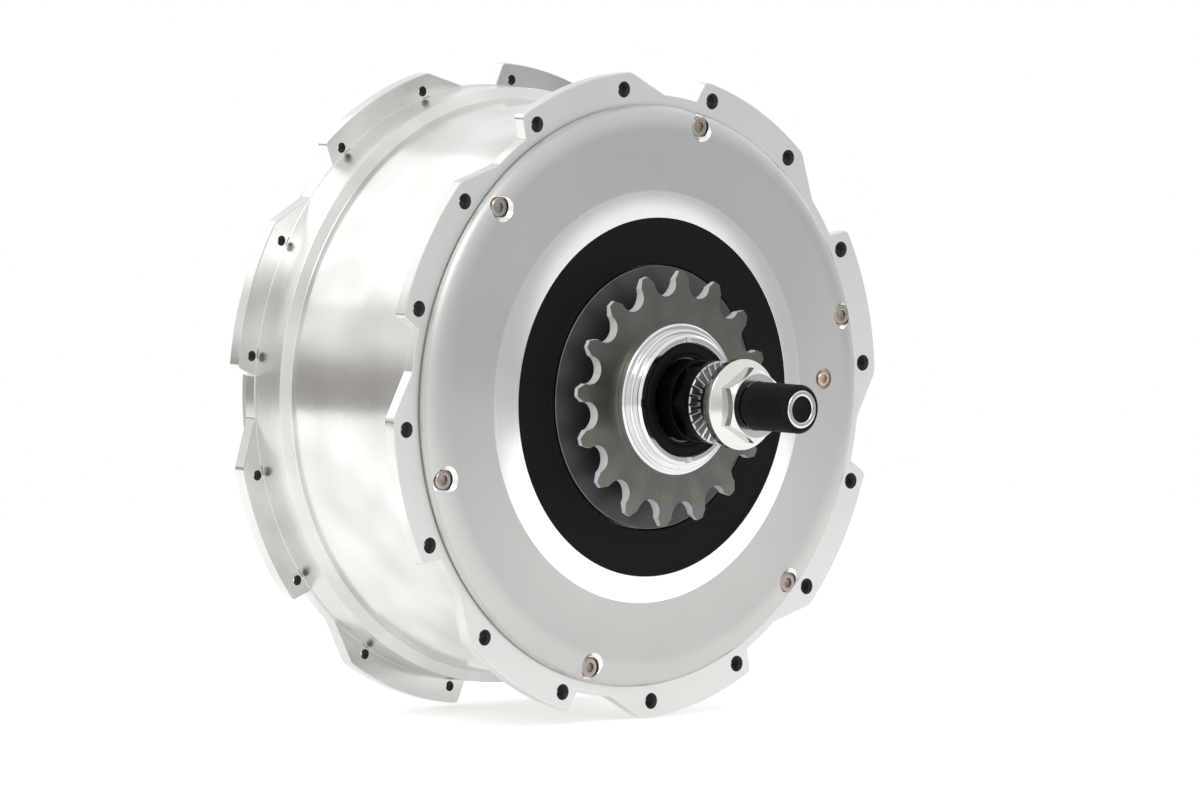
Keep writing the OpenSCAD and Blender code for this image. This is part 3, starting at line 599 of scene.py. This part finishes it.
def makeVentPlug():
    look = {"headR": 2.1, "headH": 1.3, "shankR": 1.45, "shankL": 1.5, "socketAcross": 2.1}
    bm = bmesh.new()
    socketScrew(bm, seatY=cover["ventSeatY"], place=polar(cover["ventAngle"], cover["ventR"]), **look)
    finishPiece(newPiece(bm, "ventPlug", [copper], "shell", ["vent_plug"]))


makeDriveCover()
makeCoverScrews()
makeVentPlug()
print("cover made")


# rings, disc, sprocket and lockring

def makeSealRing():
    # two raised lips with a shallow floor between them; a lip is (width in from the edge, y)
    look = {"inR": 36.8, "outR": 49.4, "backY": -37.2,
            "lip": ((0, -39.9), (0.6, -40.0), (1.2, -39.9), (1.6, -39.75))}
    inner = [(look["inR"] + w, y) for w, y in look["lip"]]
    outer = [(look["outR"] - w, y) for w, y in reversed(look["lip"])]
    profile = [(look["inR"], look["backY"])] + inner + outer + [(look["outR"], look["backY"])]
    bm = bmesh.new()
    spinProfile(bm, profile, rounding=0.1)
    finishPiece(newPiece(bm, "sealRing", [rubber], "shell", ["seal_ring"]))


def makeGuardDisc():
    look = {"inR": 16.5, "outR": 36.4, "backY": -39.2, "faceY": -40.2, "rim": 0.3}
    profile = [(look["inR"], look["backY"]), (look["outR"], look["backY"]), (look["outR"], look["faceY"]),
               (look["inR"], look["faceY"])]
    bm = bmesh.new()
    spinProfile(bm, profile, rounding=0.25)
    piece = newPiece(bm, "guardDisc", [darkNickel, greySteel], "driver", ["guard_disc"])

    def finishOf(face):
        return greySteel if middleOf(face)[0] > look["outR"] - look["rim"] else darkNickel
    finishPiece(piece, finishOf=finishOf)


# splines between the sprocket and its driver
splines = {"count": 9, "r": 17.3, "middleY": -47.2, "length": 3.0, "depth": 2.2, "width": 3.7, "slack": 0.1}


def makeSprocket():
    look = {"teeth": 16, "pitch": 12.7, "roller": 7.75, "slack": 0.08, "tipR": 35.25, "boreR": 17.35,
            "firstSeat": 5.6, "backY": -45.7, "faceY": -48.7, "chamferR": 30.2, "chamferY": 0.85,
            "rounding": 0.36, "mouth": 4.0, "mouthOut": 2.2, "flare": 1.95}
    tipR, boreR, chamferR, backY, faceY = (look[n] for n in ("tipR", "boreR", "chamferR", "backY", "faceY"))
    step, rollerR = 360 / look["teeth"], look["roller"] / 2 + look["slack"]
    pitchR = look["pitch"] / 2 / math.sin(math.pi / look["teeth"])
    mouthR, past = pitchR + look["mouthOut"], 1.5
    through = backY - faceY + 2 * past
    profile = [(boreR, backY), (chamferR, backY), (tipR, backY - look["chamferY"])]
    profile += [(tipR, faceY + look["chamferY"]), (chamferR, faceY), (boreR, faceY)]
    bm = bmesh.new()
    spinProfile(bm, profile, steps=160)
    piece = newPiece(bm, "sprocket", [sprocketSteel, wornSteelPaintedHighlight], "driver", ["sprocket"])
    bm = bmesh.new()
    for k in range(look["teeth"]):
        x, z = polar(look["firstSeat"] + step * k, pitchR)
        addShaft(bm, rollerR, faceY - past, backY + past, x, z, sides=40)
    combine(piece, bm)
    bm = bmesh.new()
    for k in range(look["teeth"]):
        # the flanks open outwards from the roller seat
        first = set(bm.verts)
        addBlock(bm, (look["mouth"], through, 2 * rollerR), (mouthR, splines["middleY"], 0))
        new = [v for v in bm.verts if v not in first]
        for v in new:
            if v.co.x > mouthR * mm:
                v.co.z *= look["flare"]
        turn = Matrix.Rotation(math.radians(-look["firstSeat"] - step * k), 3, "Y")
        bmesh.ops.rotate(bm, verts=new, cent=(0, 0, 0), matrix=turn)
    combine(piece, bm)
    bm = bmesh.new()
    for k in range(splines["count"]):
        addBlock(bm, (splines["depth"], through, splines["width"]), (splines["r"], splines["middleY"], 0),
                 360 / splines["count"] * k)
    combine(piece, bm)

    def finishOf(face):
        # the tooth flanks carry a painted highlight: near white, over the real rub of the chain
        onFlank = middleOf(face)[0] > 27.5 and abs(face.normal.y) < 0.97
        return wornSteelPaintedHighlight if onFlank else sprocketSteel
    finishPiece(piece, finishOf=finishOf, bevel=look["rounding"])


def makeLockring():
    # three steps that narrow outwards, with four notches for a tool in the front one
    look = {"notches": 4, "notch": (2.4, 1.5, 2.2), "notchR": 16.2, "notchY": -54.25}
    profile = [(17.4, -48.7), (20.9, -48.7), (20.9, -50.3), (20.4, -50.7), (19.3, -50.7), (19.3, -51.9)]
    profile += [(18.9, -52.2), (18, -52.2), (18, -53.6), (17.3, -54.2), (15.9, -54.2), (15.9, -53.2)]
    profile += [(16.95, -53.2), (16.95, -49), (17.4, -49)]
    bm = bmesh.new()
    spinProfile(bm, profile, steps=144, rounding=0.16)
    piece = newPiece(bm, "lockring", [chrome], "driver", ["lockring"])
    bm = bmesh.new()
    for k in range(look["notches"]):
        addBlock(bm, look["notch"], (look["notchR"], look["notchY"], 0), 360 / look["notches"] * k)
    combine(piece, bm)
    finishPiece(piece)


def makeFreewheelDriver():
    # a sleeve with a shoulder behind the sprocket and splines under it
    profile = [(13, -28.6), (16.5, -28.6), (16.5, -40.2), (19.5, -40.2), (19.5, -45.7), (17.3, -45.7)]
    profile += [(17.3, -48.7), (16.9, -48.7), (16.9, -53.2), (13, -53.2)]
    bm = bmesh.new()
    spinProfile(bm, profile, steps=144, rounding=0.2)
    piece = newPiece(bm, "freewheelDriver", [machinedSteel], "driver", ["freewheel_driver"])
    bm = bmesh.new()
    size = (splines["depth"] - 2 * splines["slack"], splines["length"], splines["width"] - splines["slack"])
    for k in range(splines["count"]):
        addBlock(bm, size, (splines["r"], splines["middleY"], 0), 360 / splines["count"] * k)
    combine(piece, bm, "UNION")
    finishPiece(piece)


def makeDustSeals():
    # thin pressed seals with one raised ring each
    drive = [(11.8, -53.2), (11.8, -53.6), (12.6, -53.6), (13.0, -53.9), (14.2, -53.9), (14.6, -53.6),
             (15.7, -53.6), (15.7, -53.2)]
    left = [(10.6, 51.1), (15.1, 51.1), (15.1, 51.7), (14.2, 51.7), (13.8, 52.0), (12.4, 52.0), (12.0, 51.7),
            (10.6, 51.7)]
    for name, body, stands, profile in (("driverDustSeal", "driver", "driver_dust_seal", drive),
                                        ("leftDustSeal", "shell", "left_dust_seal", left)):
        bm = bmesh.new()
        spinProfile(bm, profile, steps=96, rounding=0.08)
        finishPiece(newPiece(bm, name, [rubber], body, [stands]))


makeSealRing()
makeGuardDisc()
makeSprocket()
makeLockring()
makeFreewheelDriver()
makeDustSeals()
print("driver side made")


# axle and what fastens it

def makeAxle():
    # a plain shaft between the locknuts, with threaded ends that have two flats
    look = {"shaftR": 8.5, "shoulder": 66.5, "edge": 0.5, "driveEnd": -82.6, "leftEnd": 86.0, "overlap": 1.0,
            "endR": 6.0, "flats": 5.0, "pitch": 1.0, "depth": 0.55, "lead": 0.7,
            "boreR": 2.7, "boreEnd": 27.6, "spigotR": 3.6, "spigotL": 8.0, "centreR": 3.0, "centreL": 2.6}
    bm = bmesh.new()
    addShaft(bm, look["shaftR"], -look["shoulder"], look["shoulder"], sides=96)
    roundEdges(bm, look["edge"], 60)
    piece = newPiece(bm, "axle", [blackOxide, wornSteelPaintedHighlight], "axle", ["axle", "axle_ends"])
    inner = look["shoulder"] - look["overlap"]
    for y0, y1 in ((look["driveEnd"], -inner), (inner, look["leftEnd"])):
        turns = int((y1 - y0) / look["pitch"])
        thread = [(0, y0), (look["endR"] - look["lead"], y0)]
        for k in range(turns):
            thread += [(look["endR"] - look["depth"], y0 + (k + 0.5) * look["pitch"]),
                       (look["endR"], y0 + (k + 1.0) * look["pitch"])]
        thread += [(look["endR"] - look["depth"], y1), (0, y1)]
        bm = bmesh.new()
        spinProfile(bm, thread, steps=64)
        for side in (1, -1):
            cut = bmesh.ops.bisect_plane(bm, geom=bm.verts[:] + bm.edges[:] + bm.faces[:], dist=1e-7,
                                         plane_co=(0, 0, side * look["flats"] * mm), plane_no=(0, 0, side),
                                         clear_outer=True)
            rim = [g for g in cut["geom_cut"] if isinstance(g, bmesh.types.BMEdge)]
            bmesh.ops.triangle_fill(bm, use_beauty=True, edges=rim)
        bmesh.ops.recalc_face_normals(bm, faces=bm.faces)
        combine(piece, bm, "UNION")
    # the cable's bore, then the connector's seat at the drive end and a centre hole at the left end
    past = look["driveEnd"] - 1
    bm = bmesh.new()
    addShaft(bm, look["boreR"], past, look["boreEnd"], sides=32)
    combine(piece, bm)
    bm = bmesh.new()
    addShaft(bm, look["spigotR"], past, look["driveEnd"] + look["spigotL"], sides=32)
    addShaft(bm, 0.3, look["leftEnd"] - look["centreL"], look["leftEnd"] + 0.2, r2=look["centreR"], sides=32)
    combine(piece, bm)

    def finishOf(face):
        height = abs(face.calc_center_median().z / mm)
        # the flats take the near-white steel with its painted highlight
        onFlat = abs(face.normal.z) > 0.98 and abs(height - look["flats"]) < 0.05
        return wornSteelPaintedHighlight if onFlat and abs(middleOf(face)[1]) > look["shoulder"] else blackOxide
    finishPiece(piece, degrees=30, finishOf=finishOf)


def trimHex(piece, across, y0, y1, chamferR, drop=2.2):
    # turns the corners of a hexagon down to a radius at its outer face
    outer, past = across / 2 / math.cos(math.pi / 6) + 1, 0.01
    profile = [(0, y0 - past), (outer, y0 - past), (outer, y1 - drop), (chamferR, y1 + past), (0, y1 + past)]
    bm = bmesh.new()
    spinProfile(bm, profile, steps=128)
    combine(piece, bm, "INTERSECT")


def joinTurned(piece, points):
    # joins a turned solid of (radius, y) to a piece
    bm = bmesh.new()
    spinProfile(bm, [(0, points[0][1])] + points + [(0, points[-1][1])], steps=128, rounding=0.2)
    combine(piece, bm, "UNION")


def boreOut(piece, *bores):
    # each bore is (radius, from y, to y) with an end radius if it is a cone
    for bore in bores:
        bm = bmesh.new()
        addShaft(bm, *bore[:3], r2=bore[3] if len(bore) > 3 else None, sides=64)
        combine(piece, bm)


def mirrorPiece(piece):
    # adds the same part at the other end of the axle
    bm = bmesh.new()
    bm.from_mesh(piece.data)
    bmesh.ops.mirror(bm, geom=bm.verts[:] + bm.edges[:] + bm.faces[:], axis="Y", merge_dist=-1)
    bmesh.ops.recalc_face_normals(bm, faces=bm.faces)
    bm.to_mesh(piece.data)
    bm.free()


def makeNuts():
    # a hexagon on a flange that slopes up to it
    look = {"across": 18.0, "hexY": 76.0, "outer": 82.5, "chamferR": 8.8, "boreR": 6.05, "sinkR": 6.85,
            "sinkL": 0.8, "flange": [(12.5, 74.0), (12.5, 76.6), (9.4, 78.0)]}
    bm = bmesh.new()
    addHex(bm, look["across"], look["hexY"], look["outer"])
    nuts = newPiece(bm, "axleNuts", [softChrome], "axle", ["axle_nuts"])
    trimHex(nuts, look["across"], look["hexY"], look["outer"], look["chamferR"])
    joinTurned(nuts, look["flange"])
    bore = (look["boreR"], look["flange"][0][1] - 2, look["outer"] + 2)
    sink = (look["boreR"] - 0.1, look["outer"] - look["sinkL"], look["outer"] + 0.05, look["sinkR"])
    boreOut(nuts, bore, sink)
    mirrorPiece(nuts)
    finishPiece(nuts, degrees=30, bevel=0.2)


def makeLocknuts():
    # a round collar, a hexagon, and a flange whose outer face is serrated to grip the frame
    look = {"across": 19.0, "inner": 52.6, "collar": 59.5, "flange": 64.9, "face": 67.5, "collarR": 11.2,
            "flangeR": 11.5, "neckR": 8.9, "overlap": 0.5, "shoulder": 66.5, "shaftR": 8.5, "boreR": 6.05,
            "serrations": 28, "depth": 0.5, "grooveL": 4.2, "grooveW": 1.9, "grooveR": 9.7, "taper": 0.1}
    inner, collar, flange, faceY = (look[name] for name in ("inner", "collar", "flange", "face"))
    collarR, neckR, flangeR, edge = look["collarR"], look["neckR"], look["flangeR"], 0.3
    turned = [(10.2, inner), (collarR, inner + 1), (collarR, collar), (neckR, collar), (neckR, flange)]
    turned += [(collarR, flange), (flangeR, flange + edge), (flangeR, faceY - edge), (collarR, faceY)]
    bm = bmesh.new()
    addHex(bm, look["across"], collar - look["overlap"], flange + look["overlap"], 30)
    piece = newPiece(bm, "locknuts", [blackOxide, zincWithPaintedLight], "axle", ["locknuts"])
    joinTurned(piece, turned)
    shoulder = look["shoulder"]
    boreOut(piece, (look["shaftR"], inner - 2, shoulder), (look["boreR"], shoulder - 2, faceY + 2))
    bm = bmesh.new()
    for k in range(look["serrations"]):
        first = set(bm.verts)
        addBlock(bm, (look["grooveL"], 2 * look["depth"], look["grooveW"]), (look["grooveR"], faceY, 0))
        new = [v for v in bm.verts if v not in first]
        for v in new:
            if v.co.y < faceY * mm:
                v.co.z *= look["taper"]
        turn = Matrix.Rotation(math.radians(360 / look["serrations"] * k), 3, "Y")
        bmesh.ops.rotate(bm, verts=new, cent=(0, 0, 0), matrix=turn)
    combine(piece, bm)
    mirrorPiece(piece)

    def finishOf(face):
        # the serrated faces take the pale zinc, whose colour is partly painted light
        return zincWithPaintedLight if abs(middleOf(face)[1]) > faceY - look["depth"] - 0.1 else blackOxide
    finishPiece(piece, degrees=30, finishOf=finishOf)


# cap on the charging port

def makePortCap():
    look = {"r": 6.7, "endY": -100.2, "mouthY": -82.8, "edge": 0.7, "boreR": 5.05, "boreY": -97.2,
            "ringIn": 3.6, "ringOut": 5.2, "ringHalf": 0.3, "dimple": 0.25}
    r, end, mouth, ringIn, ringOut = (look[name] for name in ("r", "endY", "mouthY", "ringIn", "ringOut"))
    seat, front, dimple, edge = (end + look["ringHalf"], end - look["ringHalf"], end + look["dimple"],
                                 look["edge"])
    # the end with a dimple and the ring's seat, the side with a thin groove near its mouth, and the bore
    profile = [(0, dimple), (ringIn - 0.1, dimple), (ringIn - 0.1, end + 0.05), (ringIn, end), (ringIn, seat)]
    profile += [(ringOut, seat), (ringOut, end), (r - edge, end), (r, end + edge), (r, mouth - 2.0)]
    profile += [(r - 0.15, mouth - 1.7), (r, mouth - 1.4), (r, mouth), (look["boreR"], mouth)]
    profile += [(look["boreR"], look["boreY"]), (0, look["boreY"])]
    bm = bmesh.new()
    spinProfile(bm, profile, steps=96, rounding=0.08)
    finishPiece(newPiece(bm, "portCap", [rubber], "port_cap", ["port_cap"]), degrees=35)
    bm = bmesh.new()
    spinProfile(bm, [(ringIn, seat), (ringIn, end - 0.1), (ringIn + 0.2, front), (ringOut - 0.2, front),
                     (ringOut, end - 0.1), (ringOut, seat)], steps=96, rounding=0.08)
    finishPiece(newPiece(bm, "capRing", [chrome], "port_cap", ["cap_ring"]))


makeAxle()
makeNuts()
makeLocknuts()
makePortCap()
print("axle, nuts and cap made")


# finishes of the pieces inside, by their slot in the record

insideFinishes = {
    "axle_steel": blackOxide, "black_steel": blackOxide, "zinc_steel": zincWithPaintedLight, "chrome_steel": chrome,
    "bearing_steel": groundSteel, "gear_steel": machinedSteel, "dark_steel": darkNickel,
    "sprocket_steel": sprocketSteel, "polished_aluminium": polished, "satin_aluminium": satin,
    "copper_plug": copper, "black_rubber": rubber,
    # sand cast and left as it came
    "cast_aluminium": platedMetal("castAluminium", "#a4a5a6", "#b6b7b8", (0.45, 0.65), 0.9, 0.03),
    # stacked sheets of varnished electrical steel
    "laminations": platedMetal("varnishedLaminations", "#3c3e42", "#4c4e52", (0.35, 0.5), 0.5, 0.01, 0.8),
    # enamelled winding wire, amber over copper
    "copper_wire": platedMetal("enamelledCopperWire", "#a35a2c", "#bd7340", (0.2, 0.34), 0.8, 0.02),
    "nickel_strip": platedMetal("nickelStrip", "#bcb8b0", "#cbc8c0", (0.2, 0.34), 0.7, 0.004),
    "brass_fitting": platedMetal("turnedBrass", "#b58f46", "#c9a65c", (0.18, 0.3), 0.6, 0.003),
    # glass fibre board under green solder mask
    "circuit_board": mouldedSurface("solderMask", "#0d3a20", "#155030", (0.25, 0.4), 0.6, 0.006),
    "wire_sleeve": mouldedSurface("siliconeSleeve", "#141414", "#1e1e1f", (0.45, 0.6), 0.4, 0.006),
    "tray_plastic": mouldedSurface("glassFilledNylon", "#25282d", "#32363c", (0.5, 0.68), 0.35, 0.02),
    # thin shrink wrap, drawn tight over each can
    "cell_wrap": mouldedSurface("shrinkWrap", "#23557f", "#2d6492", (0.2, 0.32), 2.5, 0.02),
    "black_plastic": mouldedSurface("mouldedNylon", "#131314", "#1e1e20", (0.42, 0.6), 0.35, 0.012),
    # pressed fibre paper, a little fuzzy
    "gasket_paper": mouldedSurface("gasketPaper", "#85827d", "#94918b", (0.8, 0.95), 0.3, 0.03),
    "gear_nylon": mouldedSurface("machinedNylon", "#d9d2c0", "#e6e0d0", (0.35, 0.5), 0.6, 0.008, cloud=7.0),
}
for part in frame["record"]["subparts"]:
    meshData = frame["nodes"][part["node"]].data
    meshData.materials.clear()
    meshData.materials.append(insideFinishes[part["material_slot"]])


# room, light and camera

def whereSeen(tree):
    # 1 where the camera, a mirror or glass looks at the surface, and 0 where it only lights other things
    rays = addNode(tree, "LightPath")
    seen = rays.outputs["Is Camera Ray"]
    for kind in ("Is Glossy Ray", "Is Transmission Ray"):
        seen = addNode(tree, "Math", {0: seen, 1: rays.outputs[kind]}, operation="MAXIMUM").outputs["Value"]
    return seen


def buildFloor():
    # a pale sheet of paper to stand on: the camera and mirrors see it white, and it still takes the shadow
    look = {"halfSize": 0.6, "gap": 0.0002, "lift": 0.42}
    lowest = min(corner.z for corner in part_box("hub_shell"))
    bm = bmesh.new()
    bmesh.ops.create_grid(bm, x_segments=1, y_segments=1, size=look["halfSize"])
    bmesh.ops.translate(bm, verts=bm.verts, vec=(0, 0, lowest - look["gap"]))
    mesh = bpy.data.meshes.new("floor")
    bm.to_mesh(mesh)
    bm.free()
    floor = bpy.data.objects.new("floor", mesh)
    bpy.context.scene.collection.objects.link(floor)
    material, tree, surface, place = newMaterial("paperFloor", roughness=0.9, Specular_IOR_Level=0.1)
    tone = addNode(tree, "TexNoise", {"Vector": place, "Scale": 3.0})
    setColour(tree, surface, tone.outputs["Fac"], "#f4f4f3", "#f7f7f6")
    lift = addNode(tree, "Math", {0: whereSeen(tree), 1: look["lift"]}, operation="MULTIPLY")
    surface.inputs["Emission Color"].default_value = (1, 1, 1, 1)
    tree.links.new(lift.outputs["Value"], surface.inputs["Emission Strength"])
    mesh.materials.append(material)


def buildRoom():
    # a white studio, in which mirrors see a low grey band before the drive side and another behind the hub
    look = {"lowFrom": 0.25, "lowTo": 0.05, "fullAt": 0.92, "asLight": 0.78, "seen": 1.0}
    ends = (((0.62, -0.78, 0.0), 0.5, "#bbbcbe"), ((-0.66, 0.75, 0.0), 0.35, "#b1aeaa"))
    world = bpy.data.worlds.new("studio")
    bpy.context.scene.world = world
    world.use_nodes = True
    tree = world.node_tree
    tree.nodes.clear()
    direction = addNode(tree, "TexCoord").outputs["Generated"]
    height = addNode(tree, "SeparateXYZ", {"Vector": direction}).outputs["Z"]
    low = addNode(tree, "MapRange", {"Value": height, "From Min": look["lowFrom"], "From Max": look["lowTo"]},
                  interpolation_type="SMOOTHSTEP")
    byCamera = addNode(tree, "LightPath").outputs["Is Camera Ray"]
    past = addNode(tree, "Math", {0: low.outputs["Result"], 1: byCamera}, operation="SUBTRACT",
                   use_clamp=True)
    shade = None
    for facing, start, grey in ends:
        # how far a direction points at this end of the room, and how low it is
        towards = addNode(tree, "VectorMath", {0: direction, 1: facing}, operation="DOT_PRODUCT")
        near = addNode(tree, "MapRange", {"Value": towards.outputs["Value"], "From Min": start,
                                          "From Max": look["fullAt"]}, interpolation_type="SMOOTHSTEP")
        share = addNode(tree, "Math", {0: past.outputs["Value"], 1: near.outputs["Result"]},
                        operation="MULTIPLY")
        shade = addNode(tree, "MixRGB", {"Fac": share.outputs["Value"], "Color2": hexColour(grey),
                                         "Color1": shade.outputs["Color"] if shade else (1, 1, 1, 1)})
    # the background is full white where it is seen, and plainer as a light
    strength = addNode(tree, "MapRange", {"Value": whereSeen(tree), "To Min": look["asLight"],
                                          "To Max": look["seen"]})
    room = addNode(tree, "Background", {"Color": shade.outputs["Color"],
                                        "Strength": strength.outputs["Result"]})
    addNode(tree, "OutputWorld", {"Surface": room.outputs["Background"]})


def addSoftbox(name, where, size, watts):
    # a flat rectangular lamp that faces the middle of the hub
    lamp = bpy.data.lights.new(name, "AREA")
    lamp.shape = "RECTANGLE"
    lamp.size, lamp.size_y = size
    lamp.energy = watts
    box = bpy.data.objects.new(name, lamp)
    box.location = where
    box.rotation_euler = (-Vector(where)).to_track_quat("-Z", "Y").to_euler()
    bpy.context.scene.collection.objects.link(box)


def placeCamera():
    # azimuth is turned from straight in front of the drive side
    view = {"azimuth": -42.0, "elevation": 4.3, "distance": 4.39, "lens": 476.0, "aim": (0.0, -0.018, -0.002)}
    a, e = math.radians(view["azimuth"]), math.radians(view["elevation"])
    back = Vector((math.sin(a) * math.cos(e), -math.cos(a) * math.cos(e), math.sin(e)))
    lens = bpy.data.cameras.new("camera")
    lens.lens, lens.sensor_width = view["lens"], 36.0
    lens.clip_start, lens.clip_end = 0.1, 100.0
    camera = bpy.data.objects.new("camera", lens)
    camera.location = Vector(view["aim"]) + back * view["distance"]
    camera.rotation_euler = back.to_track_quat("Z", "Y").to_euler()
    bpy.context.scene.collection.objects.link(camera)
    bpy.context.scene.camera = camera


buildFloor()
buildRoom()
addSoftbox("keySoftbox", (-1.7, -1.6, 2.2), (1.6, 1.6), 22)
addSoftbox("fillSoftbox", (2.5, 0.5, 1.3), (1.4, 1.8), 5)
addSoftbox("backSoftbox", (-0.6, 2.2, 1.8), (2.4, 1.6), 6)
placeCamera()
bpy.context.scene.view_settings.view_transform = "Standard"
print("room, lamps and camera placed")
